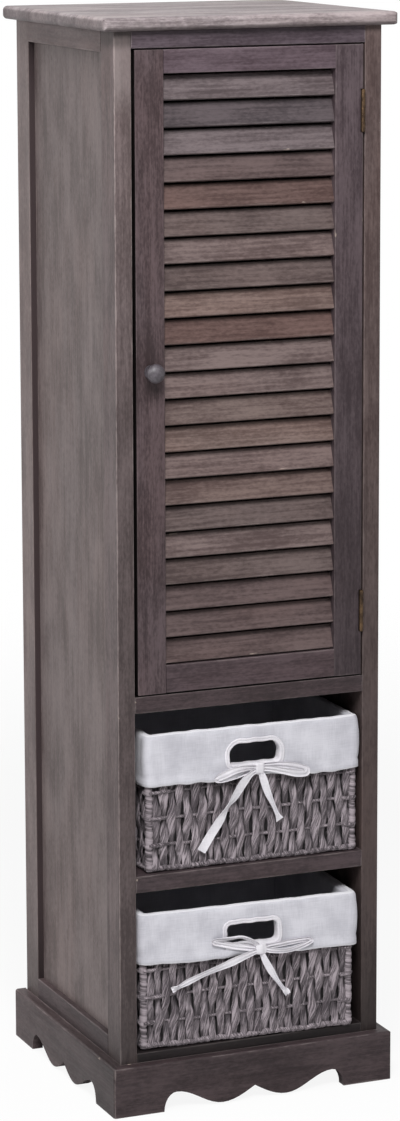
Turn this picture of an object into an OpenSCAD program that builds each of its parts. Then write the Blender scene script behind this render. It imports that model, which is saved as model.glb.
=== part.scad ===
// Tall narrow bathroom storage tower: a cupboard with a louvred door over two open bays that hold
// lined woven baskets, on a wrapped plinth with scalloped feet.
// Millimetres. Z is up, the front faces -Y, and the origin is the middle of the overall box on the floor.

/* [Cabinet] */
// Width over the outer faces of the posts
body_w = 300; // [270:5:360]
// Depth from the front faces of the posts to the back
body_d = 285; // [270:5:340]
// Height from the floor to the top face of the top board
total_h = 1156; // [1080:2:1300]
// Thickness of the posts and side rails
post_t = 19; // [17:0.5:22]
// Width of the posts, front to back
post_w = 36.5; // [32:0.5:44]
// Thickness of the fixed shelves
shelf_t = 18; // [14:0.5:20]
// Clear height of each basket bay
bay_h = 175.5; // [165:0.5:200]
// Height of the lowest shelf's top face above the plinth
low_shelf_rise = 10; // [6:0.5:14]
// Radius that eases the long edges of the boards
edge_r = 1.2; // [0.6:0.1:2]

/* [Top] */
// Thickness of the top board
top_t = 14; // [12:0.5:20]
// How far the top board runs past the front of the posts
top_front = 10; // [6:0.5:16]
// How far the top board runs past the sides
top_side = 15; // [10:0.5:20]
// Radius of the top board's rounded edges
top_edge_r = 5; // [3:0.5:5.5]
// Height of the rail under the top board, over the door
front_rail_h = 18; // [15:0.5:24]

/* [Sides] */
// Visible height of the rail at the top of each side
side_top_rail_h = 23; // [20:0.5:32]
// Height of the rail at the foot of each side
side_low_rail_h = 36; // [30:0.5:44]
// How far the lower side rail shows above the plinth
side_low_rail_rise = 22.5; // [18:0.5:30]
// Thickness of the thin side panels
panel_t = 5; // [4:0.5:6]
// Depth of the side panels behind the faces of the posts
panel_recess = 7; // [5:0.5:8]
// Depth of the groove that holds a side panel
groove_d = 6; // [4:0.5:7]
// Length of the rail tenons
tenon_l = 12; // [8:1:16]
// Thickness of the back panel
back_t = 3; // [2.5:0.5:4]
// Width of the rebate that holds the back panel
back_rebate = 8; // [6:0.5:10]

/* [Plinth] */
// Height of the plinth boards
plinth_h = 54; // [50:1:70]
// Thickness of the plinth boards
plinth_t = 12; // [10:0.5:15]
// How far the side plinth boards run past the back
plinth_back = 5; // [0:0.5:8]
// Width of the front feet on the floor
front_foot = 57; // [45:1:65]
// Width of the side feet on the floor
side_foot = 54; // [45:1:60]
// Height of the cut-outs beside the feet
arch_h = 20.5; // [15:0.5:24]
// Width of the steep round beside each foot
arch_drop_w = 14; // [10:1:18]
// Height of the pointed cut-out in the middle
cusp_h = 15.5; // [12:0.5:18]
// Half the width of the pointed cut-out in the front board
front_cusp_w = 37; // [30:1:40]
// Half the width of the pointed cut-out in the side boards
side_cusp_w = 32; // [26:1:36]
// Clearance of the lowest points between the feet above the floor
lobe_z = 1.5; // [1:0.5:4]
// Radius of the plinth's top edge and corners
plinth_r = 3; // [2:0.5:4]

/* [Cupboard] */
// Thickness of the two inner shelves
inner_shelf_t = 12; // [10:1:18]
// Distance of the inner shelves behind the front of the posts
inner_setback = 26; // [24:1:32]
// Side of the square cleats under the inner shelves
cleat_s = 11; // [9:1:14]

/* [Door] */
// Thickness of the door frame
door_t = 18; // [17:0.5:20]
// Width of the door's side members
door_stile_w = 32; // [28:0.5:38]
// Height of the door's top rail
door_top_h = 24.5; // [20:0.5:36]
// Height of the door's bottom rail
door_low_h = 29.5; // [26:0.5:40]
// Gap above and below the door
door_gap = 1.5; // [1:0.1:2.5]
// Gap on the latch side of the door
latch_gap = 3.5; // [2.5:0.1:4.5]
// Gap on the hinge side of the door
hinge_gap = 1.6; // [1.4:0.1:2]
// Distance from one slat to the next, rounded to fill the door evenly
slat_step = 27.9; // [26:0.1:32]
// Width of a slat
slat_w = 26; // [22:0.5:26.5]
// Thickness of a slat
slat_t = 5; // [4:0.25:5.5]
// Lean of a slat, its top towards the back
slat_lean = 20; // [16:1:24]
// Gap between the top slat and the door's top rail
slat_head_gap = 2; // [0:0.5:4]
// Length of slat housed in each side member
slat_seat = 6; // [4:0.5:8]

/* [Knob] */
// Diameter of the knob
knob_d = 20; // [16:0.5:26]
// Distance the knob stands out from the door
knob_out = 21; // [18:0.5:26]
// Height of the knob's middle above the door's lower edge
knob_z = 340; // [250:1:450]
// Radius of the knob screw
knob_screw_r = 2; // [1.5:0.25:2.5]

/* [Hinges] */
// Height of a hinge
hinge_h = 43; // [36:1:55]
// Distance of a hinge's middle from the nearer end of the door
hinge_inset = 69; // [55:1:110]
// Radius of the hinge knuckles
knuckle_r = 2.2; // [2:0.1:2.5]
// Thickness of the hinge leaves
leaf_t = 1; // [0.8:0.1:1.1]
// Width of a hinge leaf from the pin's axis
leaf_w = 15; // [12:0.5:16]
// Radius of the hinge pin
pin_r = 1; // [0.8:0.1:1.1]
// Distance of the pin's axis in front of the posts
pin_proud = 0.8; // [0.5:0.1:1.2]

/* [Baskets] */
// Room in a bay beside a lined basket that is turned the most, both sides together
basket_side_room = 6; // [5:0.5:20]
// Gap between a basket's rear corner and the right side of its bay
basket_side_gap = 1; // [0.8:0.1:2]
// Room in a bay behind a lined basket
basket_back_room = 60; // [20:1:80]
// Room in a bay above a lined basket
basket_head_room = 25.5; // [20:0.5:30]
// Thickness of the woven walls
basket_wall = 7; // [5:0.5:9]
// Corner radius of the woven basket
basket_r = 9; // [8:1:14]
// Distance of the upper basket behind the front of the posts, at its middle
upper_setback = 4.5; // [3:0.5:15]
// Distance of the lower basket behind the front of the posts, at its middle
lower_setback = 1; // [1:0.5:15]
// Turn of the upper basket in degrees, its right-hand end to the front
upper_turn = 0.5; // [0:0.5:1.5]
// Turn of the lower basket in degrees, its right-hand end to the front
lower_turn = 2.5; // [0:0.5:3]
// Thickness of the fabric liner with its air
liner_t = 1.5; // [1:0.1:2]
// Height of the part of the liner that is folded outside
cuff_h = 57; // [45:1:70]
// Width of the hand hole
hole_w = 58; // [45:1:80]
// Height of the hand hole
hole_h = 23; // [18:0.5:30]
// Height of the hand hole's lower edge above the basket's foot
hole_z = 106.5; // [100:0.5:115]
// Radius of the hand hole's upper corners
hole_r = 13; // [6:0.5:14]

/* [Bow] */
// Width of the ribbon
ribbon_w = 10; // [6:0.5:12]
// Thickness of the ribbon
ribbon_t = 1.2; // [0.8:0.1:1.6]
// Length of each loop of a bow
loop_l = 55; // [35:1:62]
// Length of the upper bow's longer tail
upper_tail = 107; // [60:1:108]
// Length of the lower bow's longer tail
lower_tail = 101; // [60:1:120]
// Length of the shorter tails
short_tail = 62; // [40:1:80]

/* [Hidden] */
$fn = 48;
fit = 0.1; // between a screw or slat and the wood round it
slip = 0.3; // between things that slide or rest
side_names = ["left", "right"];
basket_names = ["upper", "lower"];
post_names = [for (s = side_names) for (p = ["front", "rear"]) str(s, "_", p, "_post")];
// Slats: the lowest and the highest clear the rails by the fit
slat_rise = slat_w * cos(slat_lean) + slat_t * sin(slat_lean);
cupboard_z = plinth_h + low_shelf_rise + 2 * (bay_h + shelf_t);
door_z = cupboard_z + door_gap;
door_h = total_h - top_t - front_rail_h - door_gap - door_z;
slats_z = door_z + door_low_h + fit;
slats_h = door_h - door_low_h - door_top_h - slat_head_gap - 2 * fit;
slat_count = round((slats_h - slat_rise) / slat_step) + 1;
slat_pitch = (slats_h - slat_rise) / (slat_count - 1);
slat_names = [for (i = [0 : slat_count - 1]) str("slat_", i < 9 ? "0" : "", i + 1)];

// Plan: the posts' front faces lie at front_y, and the overall box is centred on the origin.
front_y = (max(knob_out, plinth_t, top_front) - body_d - plinth_back) / 2;
back_y = front_y + body_d;
inner_x = body_w / 2 - post_t;
inner_w = 2 * inner_x;
shelf_d = body_d - back_t;

// Heights
top_z = total_h - top_t;
low_shelf_top = plinth_h + low_shelf_rise;
basket_shelf_top = low_shelf_top + bay_h + shelf_t;
inner_pitch = (top_z - cupboard_z + inner_shelf_t) / 3;
inner_shelf_z = [for (i = [1, 2]) cupboard_z + i * inner_pitch - inner_shelf_t];

// Side frames
low_rail_top = plinth_h + side_low_rail_rise;
tenon_in = groove_d + 1;
tenon_t = panel_t;
panel_x = body_w / 2 - panel_recess - panel_t;

// Door
door_x0 = latch_gap - inner_x;
door_x1 = inner_x - hinge_gap;
slat_x0 = door_x0 + door_stile_w - slat_seat;
slat_len = door_x1 - door_stile_w + slat_seat - slat_x0;
knob_x = door_x0 + door_stile_w / 2;
knob_neck_r = knob_d * 0.27;
knob_foot_r = knob_d * 0.36;
knob_foot_t = 2;
knob_screw_depth = 9;
screw_head_h = 2.2;

// Hinges
pin_x = inner_x - knuckle_r;
pin_y = front_y - pin_proud;
hinge_zs = [door_z + hinge_inset, door_z + door_h - hinge_inset];
knuckles = 5;
knuckle_gap = 0.3;
knuckle_h = (hinge_h - (knuckles - 1) * knuckle_gap) / knuckles;
leaf_clear = 0.4;
pin_clear = 0.05;
pin_head_h = 0.8;
hinge_screw_r = 1.1;
hinge_head_r = 2;
hinge_screw_l = 10;
hinge_screw_dz = hinge_h * 0.36;
end_screw_y = leaf_w * 0.62; // from the pin's axis
mid_screw_y = leaf_w * 0.44;
frame_leaf_x = knuckle_r - leaf_t; // from the pin's axis: against the post
door_leaf_x = door_x1 - pin_x - leaf_t; // in a shallow recess, flush with the door's edge

// Magnetic catch
strike_w = 8;
strike_h = 30;
strike_t = 1.2;
catch_w = 12;
catch_d = 16;
catch_h = 42;
catch_drop = 42; // from the top of the door to the catch's middle
catch_mid = door_z + door_h - catch_drop;
catch_y = front_y + door_t + strike_t + slip;
catch_screw_l = 4.5;
pole_t = 1.2;
pole_out = 1;
pole_xs = [catch_w * 0.45, catch_w * 0.8];

// Baskets: each stands as far to the right as its turn and the gap let it
liner_top = bay_h - basket_head_room - slip;
basket_turn = [upper_turn, lower_turn];
basket_d = shelf_d - max(upper_setback, lower_setback) - basket_back_room - liner_t;
basket_w = inner_w - basket_side_room - 2 * liner_t - basket_d * sin(max(basket_turn));
basket_h = liner_top - liner_t;
basket_x = [for (t = basket_turn)
    inner_x - basket_side_gap - (basket_w / 2 + liner_t) * cos(t) - (basket_d + liner_t) * sin(t)];
basket_y = [front_y + upper_setback, front_y + lower_setback];
basket_z = [basket_shelf_top + slip, low_shelf_top + slip];
basket_floor = 6;
hole_x = [1.5, 4.5]; // from the basket's middle
hole_lift = [2, -1]; // above hole_z

// Bows: where the knots lie on the baskets, and the turn of each loop and tail up from +X
knot_x = [5.5, 13];
knot_z = [103.5, 99.5];
knot_w = ribbon_w * 1.1;
knot_h = ribbon_w * 1.2;
knot_t = 6;
loop_turns = [[184, -9], [171, 0]];
tail_turns = [[229, -70], [198, -59]];
long_tails = [upper_tail, lower_tail];
tail_lay = [knot_t * 0.53, knot_t * 0.36]; // how far each tail's front lies from the cuff
tail_root = knot_w * 0.2; // where the tails start, inside the knot

// Colours
wood = [0.36, 0.32, 0.32];
wood_pale = [0.45, 0.41, 0.40];
wood_dark = [0.25, 0.22, 0.22];
slat_tones = [wood, [0.42, 0.38, 0.37], [0.38, 0.33, 0.35], [0.33, 0.30, 0.31]];
brass = [0.45, 0.36, 0.24];
steel = [0.62, 0.62, 0.63];
paper_rope = [0.55, 0.51, 0.53];
cotton = [0.88, 0.88, 0.90];

// ---- Shared forms ----

// A board's cross-section with its four corners eased
module eased(w, h, r = edge_r) {
    translate([r, 0]) square([w - 2 * r, h]);
    translate([0, r]) square([w, h - 2 * r]);
    for (x = [r, w - r], y = [r, h - r]) translate([x, y]) circle(r);
}

// Lay a drawing in the YZ plane and run it along +X
module along_x(l) rotate([90, 0, 90]) linear_extrude(l) children();

// Lay a drawing in the XZ plane and run it along +Y
module along_y(l) translate([0, l, 0]) rotate([90, 0, 0]) linear_extrude(l) children();

// Left-hand pieces are the mirror image of right-hand ones
module on_side(side) {
    if (side == "left") mirror([1, 0, 0]) children();
    else children();
}

// ---- Side frames, drawn for the right side ----

module side_rail(z, h) {
    span = body_d - 2 * post_w;
    tenon_h = h - 2 * tenon_in;
    difference() {
        union() {
            translate([body_w / 2 - post_t, front_y + post_w, z]) along_y(span) eased(post_t, h);
            translate([panel_x, front_y + post_w - tenon_l, z + tenon_in])
                cube([tenon_t, span + 2 * tenon_l, tenon_h]);
        }
        side_panel();
    }
}

module top_rail_right() side_rail(top_z - side_top_rail_h, side_top_rail_h);
module low_rail_right() side_rail(low_rail_top - side_low_rail_h, side_low_rail_h);

module side_panel() {
    y0 = front_y + post_w - groove_d;
    z0 = low_rail_top - groove_d;
    translate([panel_x, y0, z0])
        cube([panel_t, body_d - 2 * (post_w - groove_d), top_z - side_top_rail_h + groove_d - z0]);
}

module side_post(y) {
    difference() {
        translate([inner_x, y, 0]) linear_extrude(top_z) eased(post_t, post_w);
        side_panel();
        top_rail_right();
        low_rail_right();
    }
}

module post(side, place) {
    difference() {
        on_side(side) side_post(place == "front" ? front_y : back_y - post_w);
        if (place == "rear") back_panel_board();
        if (side == "right" && place == "front") at_hinges() screw_row(1);
        if (side == "left" && place == "front") catch_screw_shanks();
    }
}

module side_top_rails() color(wood_pale) for (s = side_names) on_side(s) top_rail_right();
module side_low_rails() color(wood_dark) for (s = side_names) on_side(s) low_rail_right();
module thin_panel(side) color(wood_pale) on_side(side) side_panel();

// ---- Top, shelves and back ----

module top_board() {
    w = body_w + 2 * top_side;
    d = body_d + top_front;
    color(wood_pale) translate([-w / 2, front_y - top_front, top_z]) intersection() {
        along_x(w) eased(d + 2 * top_edge_r, top_t, top_edge_r);
        along_y(d) eased(w, top_t, top_edge_r);
        linear_extrude(top_t) eased(w, d + 2 * top_edge_r, top_edge_r);
    }
}

module front_top_rail() color(wood)
    translate([-inner_x, front_y, top_z - front_rail_h]) along_x(inner_w) eased(post_t, front_rail_h);

module fixed_shelf(top)
    translate([-inner_x, front_y, top - shelf_t]) along_x(inner_w) eased(shelf_d, shelf_t);

module back_panel_board() {
    w = inner_w + 2 * back_rebate;
    z0 = low_shelf_top - shelf_t;
    translate([-w / 2, back_y - back_t, z0]) cube([w, back_t, top_z - z0]);
}

module back_panel() color(wood_dark) back_panel_board();

module inner_shelves() color(wood)
    for (z = inner_shelf_z) translate([slip - inner_x, front_y + inner_setback, z])
        along_x(inner_w - 2 * slip) eased(shelf_d - inner_setback, inner_shelf_t);

module shelf_cleats() color(wood_dark)
    for (s = side_names, z = inner_shelf_z) on_side(s)
        translate([inner_x - cleat_s, front_y + inner_setback, z - cleat_s])
            along_y(shelf_d - inner_setback) eased(cleat_s, cleat_s);

// ---- Plinth ----

// Lower edge of a plinth board from its middle to the inside of a foot: a pointed rise, a low
// lobe, a swelling arch and a steep round down to the floor
function plinth_edge(cusp_w, foot_x) =
    let (peak_x = foot_x - arch_drop_w)
    concat(
        [for (a = [0 : 15 : 75]) [cusp_w * a / 90, lobe_z + (cusp_h - lobe_z) * (1 - sin(a))]],
        [for (a = [0 : 20 : 160])
            [cusp_w + (peak_x - cusp_w) * a / 180, lobe_z + (arch_h - lobe_z) * (1 - cos(a)) / 2]],
        [for (a = [90 : -15 : 0]) [peak_x + arch_drop_w * cos(a), arch_h * sin(a)]]);

// Elevation of a plinth board of the given length, centred
module plinth_outline(l, cusp_w, foot) {
    right = plinth_edge(cusp_w, l / 2 - foot);
    left = [for (i = [len(right) - 1 : -1 : 1]) [-right[i][0], right[i][1]]];
    polygon(concat(left, right, [[l / 2, 0], [l / 2, plinth_h], [-l / 2, plinth_h], [-l / 2, 0]]));
}

// Rounded block that the three boards are cut from
module plinth_block() {
    w = body_w + 2 * plinth_t;
    d = body_d + plinth_t + plinth_back;
    translate([-w / 2, front_y - plinth_t, 0]) intersection() {
        along_x(w) translate([0, -plinth_r]) eased(d + 2 * plinth_r, plinth_h + plinth_r, plinth_r);
        along_y(d) translate([0, -plinth_r]) eased(w, plinth_h + plinth_r, plinth_r);
        linear_extrude(plinth_h) eased(w, d + 2 * plinth_r, plinth_r);
    }
}

module front_plinth() {
    w = body_w + 2 * plinth_t;
    color(wood_dark) intersection() {
        plinth_block();
        linear_extrude(plinth_h) polygon([
            [-w / 2, front_y - plinth_t], [w / 2, front_y - plinth_t],
            [body_w / 2, front_y], [-body_w / 2, front_y]]);
        translate([0, front_y - plinth_t, 0]) along_y(plinth_t)
            plinth_outline(w, front_cusp_w, front_foot);
    }
}

module side_plinth(side) {
    l = body_d + plinth_t + plinth_back;
    color(wood_dark) on_side(side) intersection() {
        plinth_block();
        linear_extrude(plinth_h) polygon([
            [body_w / 2, front_y], [body_w / 2 + plinth_t, front_y - plinth_t],
            [body_w / 2 + plinth_t, back_y + plinth_back], [body_w / 2, back_y + plinth_back]]);
        translate([body_w / 2, front_y - plinth_t + l / 2, 0]) along_x(plinth_t)
            plinth_outline(l, side_cusp_w, side_foot);
    }
}

// ---- Magnetic catch and its plate ----

module catch_screw_shanks() {
    for (dz = [-1, 1]) translate([-inner_x, catch_y + catch_d / 2, catch_mid + dz * catch_h * 0.4])
        rotate([0, -90, 0]) cylinder(h = catch_screw_l, r = hinge_screw_r);
}

// Case on the post with the edges of two pole plates that face the strike plate
module magnet_catch() color(steel) {
    translate([-inner_x, catch_y + pole_out, catch_mid - catch_h / 2])
        along_x(catch_w) eased(catch_d - pole_out, catch_h);
    for (x = pole_xs)
        translate([x - inner_x, catch_y, catch_mid - strike_h / 2]) cube([pole_t, catch_d / 2, strike_h]);
    catch_screw_shanks();
}

module strike_plate() color(steel)
    translate([catch_w - inner_x - strike_w, front_y + door_t, catch_mid - strike_h / 2])
        cube([strike_w, strike_t, strike_h]);

// ---- Door ----

module door_rail(z, h) {
    x0 = door_x0 + door_stile_w;
    l = door_x1 - door_x0 - 2 * door_stile_w;
    translate([x0, front_y, z]) along_x(l) eased(door_t, h);
    translate([x0 - tenon_l, front_y + door_t / 3, z + tenon_in])
        cube([l + 2 * tenon_l, door_t / 3, h - 2 * tenon_in]);
}

module door_top_rail() color(wood) door_rail(door_z + door_h - door_top_h, door_top_h);
module door_low_rail() color(wood_dark) door_rail(door_z, door_low_h);

// One leaning slat, or with a margin the pocket that its end sits in
module slat_bar(i, margin = 0) {
    translate([slat_x0 - margin, front_y + door_t / 2, slats_z + slat_rise / 2 + i * slat_pitch])
        rotate([-slat_lean, 0, 0]) along_x(slat_len + 2 * margin)
            translate([-slat_t / 2 - margin, -slat_w / 2 - margin])
                eased(slat_t + 2 * margin, slat_w + 2 * margin, edge_r + margin);
}

module slat(i) color(slat_tones[(i * 3) % 4]) slat_bar(i);

module door_stile(x) {
    difference() {
        translate([x, front_y, door_z]) linear_extrude(door_h) eased(door_stile_w, door_t);
        door_rail(door_z + door_h - door_top_h, door_top_h);
        door_rail(door_z, door_low_h);
        for (i = [0 : slat_count - 1]) slat_bar(i, fit);
    }
}

module door_latch_stile() color(wood_pale) difference() {
    door_stile(door_x0);
    translate([knob_x, front_y - 1, door_z + knob_z]) rotate([-90, 0, 0])
        cylinder(h = door_t + 2, r = knob_screw_r + fit);
}

module door_hinge_stile() color(wood) difference() {
    door_stile(door_x1 - door_stile_w);
    at_hinges() {
        recess_h = hinge_h + 2 * (pin_head_h + leaf_clear);
        translate([0, 0, -recess_h / 2]) cylinder(h = recess_h, r = knuckle_r + 2 * leaf_clear);
        door_leaf_plate();
        screw_row(-1);
    }
}

// Turned knob: a foot ring, a neck and a head like a flattened ball
module knob() {
    r = knob_d / 2;
    head_t = knob_out * 0.66;
    rim = [for (a = [-80 : 10 : 80]) [r * cos(a), knob_out - head_t / 2 * (1 - sin(a) / sin(80))]];
    color(wood_dark) translate([knob_x, front_y, door_z + knob_z]) rotate([90, 0, 0]) difference() {
        rotate_extrude() {
            square([knob_foot_r, knob_foot_t]);
            square([knob_neck_r, knob_out - head_t / 2]);
            polygon(concat([[0, knob_out - head_t]], rim, [[0, knob_out]]));
        }
        translate([0, 0, -1]) cylinder(h = knob_screw_depth + 1, r = knob_screw_r + fit / 2);
    }
}

module knob_screw() color(steel) translate([knob_x, front_y + door_t, door_z + knob_z]) rotate([90, 0, 0]) {
    cylinder(h = door_t + knob_screw_depth - 1, r = knob_screw_r);
    translate([0, 0, -screw_head_h]) cylinder(h = screw_head_h, r = knob_screw_r * 2);
}

// ---- Hinges, drawn round the pin's axis at the middle of each hinge ----

module at_hinges() for (z = hinge_zs) translate([pin_x, pin_y, z]) children();

// Height of a knuckle's foot above the hinge's middle
function knuckle_z(i) = i * (knuckle_h + knuckle_gap) - hinge_h / 2;

// Screws beside the pin, driven outwards from the gap: dir 1 into the post, -1 into the door
module screw_row(dir) {
    face = dir > 0 ? frame_leaf_x : door_leaf_x + leaf_t;
    for (i = [-1, 0, 1])
        translate([face, i == 0 ? mid_screw_y : end_screw_y, i * hinge_screw_dz]) rotate([0, dir * 90, 0]) {
            cylinder(h = leaf_t, r1 = hinge_head_r, r2 = hinge_screw_r);
            cylinder(h = hinge_screw_l, r = hinge_screw_r);
        }
}

module leaf_plate(x, y0) translate([x, y0, -hinge_h / 2]) cube([leaf_t, leaf_w - y0, hinge_h]);

module door_leaf_plate() leaf_plate(door_leaf_x, knuckle_r + leaf_clear);

// Knuckles that belong to one leaf, with the tabs that join them to it
module leaf_knuckles(x, first) {
    for (i = [first : 2 : knuckles - 1]) translate([0, 0, knuckle_z(i)]) {
        cylinder(h = knuckle_h, r = knuckle_r);
        translate([x, 0, 0]) cube([leaf_t, knuckle_r + leaf_clear + 1, knuckle_h]);
    }
}

module hinge_leaves_frame() color(brass) at_hinges() difference() {
    union() {
        leaf_plate(frame_leaf_x, knuckle_r + leaf_clear);
        leaf_knuckles(frame_leaf_x, 0);
    }
    translate([0, 0, -hinge_h]) cylinder(h = 2 * hinge_h, r = pin_r + pin_clear);
    screw_row(1);
}

module hinge_leaves_door() color(brass) at_hinges() difference() {
    union() {
        door_leaf_plate();
        leaf_knuckles(door_leaf_x, 1);
    }
    translate([0, 0, -hinge_h]) cylinder(h = 2 * hinge_h, r = pin_r + pin_clear);
    screw_row(-1);
}

module hinge_pins() color(brass) at_hinges() {
    translate([0, 0, -hinge_h / 2]) cylinder(h = hinge_h, r = pin_r);
    for (z = [-hinge_h / 2 - pin_head_h, hinge_h / 2])
        translate([0, 0, z]) cylinder(h = pin_head_h, r = knuckle_r * 0.85);
}

module hinge_screws_frame() color(brass) at_hinges() screw_row(1);
module hinge_screws_door() color(brass) at_hinges() screw_row(-1);

// ---- Baskets, drawn with the foot of the front wall's middle at the origin ----

module at_basket(i)
    translate([basket_x[i], basket_y[i], basket_z[i]]) rotate([0, 0, -basket_turn[i]]) children();

module round_prism(margin, z0, z1) {
    w = basket_w + 2 * margin;
    d = basket_d + 2 * margin;
    translate([-w / 2, -margin, z0]) linear_extrude(z1 - z0) eased(w, d, max(basket_r + margin, 0.3));
}

module hand_hole(i) {
    translate([hole_x[i] - hole_w / 2, -2 * liner_t, hole_z + hole_lift[i]]) along_y(basket_wall + 4 * liner_t) {
        square([hole_w, hole_h - hole_r]);
        translate([hole_r, 0]) square([hole_w - 2 * hole_r, hole_h]);
        for (x = [hole_r, hole_w - hole_r]) translate([x, hole_h - hole_r]) circle(hole_r);
    }
}

module basket(i) color(paper_rope) at_basket(i) difference() {
    round_prism(0, 0, basket_h);
    round_prism(-basket_wall, basket_floor, basket_h + 1);
    hand_hole(i);
}

// Lining of the walls and floor, folded over the rim and down the outside as a cuff
module liner(i) {
    top = basket_h + liner_t;
    color(cotton) at_basket(i) difference() {
        union() {
            round_prism(-basket_wall, basket_floor, top);
            round_prism(liner_t, top - cuff_h, top);
        }
        difference() {
            round_prism(0, 0, basket_h);
            round_prism(-basket_wall, 0, basket_h + 1);
        }
        round_prism(-basket_wall - liner_t, basket_floor + liner_t, top + 1);
        hand_hole(i);
    }
}

// Flat ribbon tied in a bow on the cuff: a knot, two flattened loops and two tails over the weave
module bow(i) {
    color(cotton) at_basket(i) translate([knot_x[i], -liner_t, knot_z[i]]) {
        translate([-knot_w / 2, -knot_t, -knot_h / 2]) along_x(knot_w) eased(knot_t, knot_h, knot_t / 3);
        for (turn = loop_turns[i]) rotate([0, -turn, 0]) ribbon_loop();
        for (s = [0, 1]) rotate([0, -tail_turns[i][s], 0]) translate([tail_root, -tail_lay[s], -ribbon_w / 2])
            cube([(s == 0 ? long_tails[i] : short_tail) - tail_root, ribbon_t, ribbon_w]);
    }
}

// A loop of ribbon seen from above, flattened against the cuff and running out of the knot along +X
module ribbon_loop() {
    half = knot_t / 2;
    outer = [for (a = [20 : 16 : 340]) [loop_l * (1 - cos(a)) / 2, half * (sin(a) - 1)]];
    inner = [for (a = [20 : 16 : 340])
        [loop_l / 2 - (loop_l / 2 - ribbon_t) * cos(a), (half - ribbon_t) * sin(a) - half]];
    translate([0, 0, -ribbon_w / 2]) linear_extrude(ribbon_w) difference() {
        polygon(outer);
        polygon(inner);
    }
}

// ---- Nodes ----

top_board();
front_top_rail();
side_top_rails();
side_low_rails();
for (s = side_names) {
    thin_panel(s);
    side_plinth(s);
    for (p = ["front", "rear"])
        color(wood) post(s, p);
}
back_panel();
color(wood) fixed_shelf(cupboard_z);  // cupboard_floor
color(wood) fixed_shelf(basket_shelf_top);  // basket_shelf
color(wood_dark) fixed_shelf(low_shelf_top);  // bottom_shelf
inner_shelves();
shelf_cleats();
front_plinth();
magnet_catch();
door_hinge_stile();
door_latch_stile();
door_top_rail();
door_low_rail();
for (i = [0 : slat_count - 1])
    slat(i);
knob();
knob_screw();
strike_plate();
hinge_leaves_frame();
hinge_leaves_door();
hinge_pins();
hinge_screws_frame();
hinge_screws_door();
for (i = [0, 1]) {
    basket(i);
    liner(i);
    bow(i);
}
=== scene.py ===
"""Looks of a tall bathroom storage tower: stained boards, a louvred door, woven baskets with cotton liners."""
import math
import random

import bpy
import numpy as np
from mathutils import Matrix, Vector


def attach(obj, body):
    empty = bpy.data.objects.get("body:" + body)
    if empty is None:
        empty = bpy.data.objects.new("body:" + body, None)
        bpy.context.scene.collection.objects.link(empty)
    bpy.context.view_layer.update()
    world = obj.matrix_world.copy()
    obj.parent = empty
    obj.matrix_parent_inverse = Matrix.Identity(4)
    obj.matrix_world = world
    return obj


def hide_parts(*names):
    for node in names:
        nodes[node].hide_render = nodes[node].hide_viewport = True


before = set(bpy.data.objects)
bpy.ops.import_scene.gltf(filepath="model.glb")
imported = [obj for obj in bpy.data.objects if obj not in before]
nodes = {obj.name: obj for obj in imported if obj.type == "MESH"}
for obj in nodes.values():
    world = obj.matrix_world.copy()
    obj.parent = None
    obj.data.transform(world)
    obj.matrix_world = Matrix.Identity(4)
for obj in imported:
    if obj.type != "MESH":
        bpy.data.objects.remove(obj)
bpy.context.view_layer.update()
MM = 0.001


def add_object(name, data):
    made = bpy.data.objects.new(name, data)
    bpy.context.scene.collection.objects.link(made)
    return made


# ---- Camera: where the photograph was taken from ----

CAMERA_PLACE = Vector((-1.530, -3.621, 1.3445))
CAMERA_TURN = math.radians(-22.908)
CAMERA_DIP = math.radians(9.553)
CAMERA_ROLL = math.radians(-0.179)
CAMERA_LENS = 118.77  # mm
CAMERA_SENSOR = 36.0  # mm
CAMERA_SHIFT = -0.0986  # the photograph's middle lies below the lens axis


def make_camera():
    data = bpy.data.cameras.new("camera")
    data.lens = CAMERA_LENS
    data.sensor_width = CAMERA_SENSOR
    data.shift_y = CAMERA_SHIFT
    data.clip_end = 100.0
    camera = add_object("camera", data)
    camera.matrix_world = (
        Matrix.Translation(CAMERA_PLACE)
        @ Matrix.Rotation(CAMERA_TURN, 4, "Z")
        @ Matrix.Rotation(math.pi / 2 - CAMERA_DIP, 4, "X")
        @ Matrix.Rotation(CAMERA_ROLL, 4, "Z")
    )
    bpy.context.scene.camera = camera


# ---- Node trees ----


def srgb(red, green, blue):
    """A colour given as it shows on a screen, 0 to 255, as Blender's linear colour."""
    return tuple(
        v / 12.92 if v <= 0.04045 else ((v + 0.055) / 1.055) ** 2.4
        for v in (red / 255, green / 255, blue / 255)
    ) + (1.0,)


BLACK, WHITE = srgb(0, 0, 0), srgb(255, 255, 255)


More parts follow.
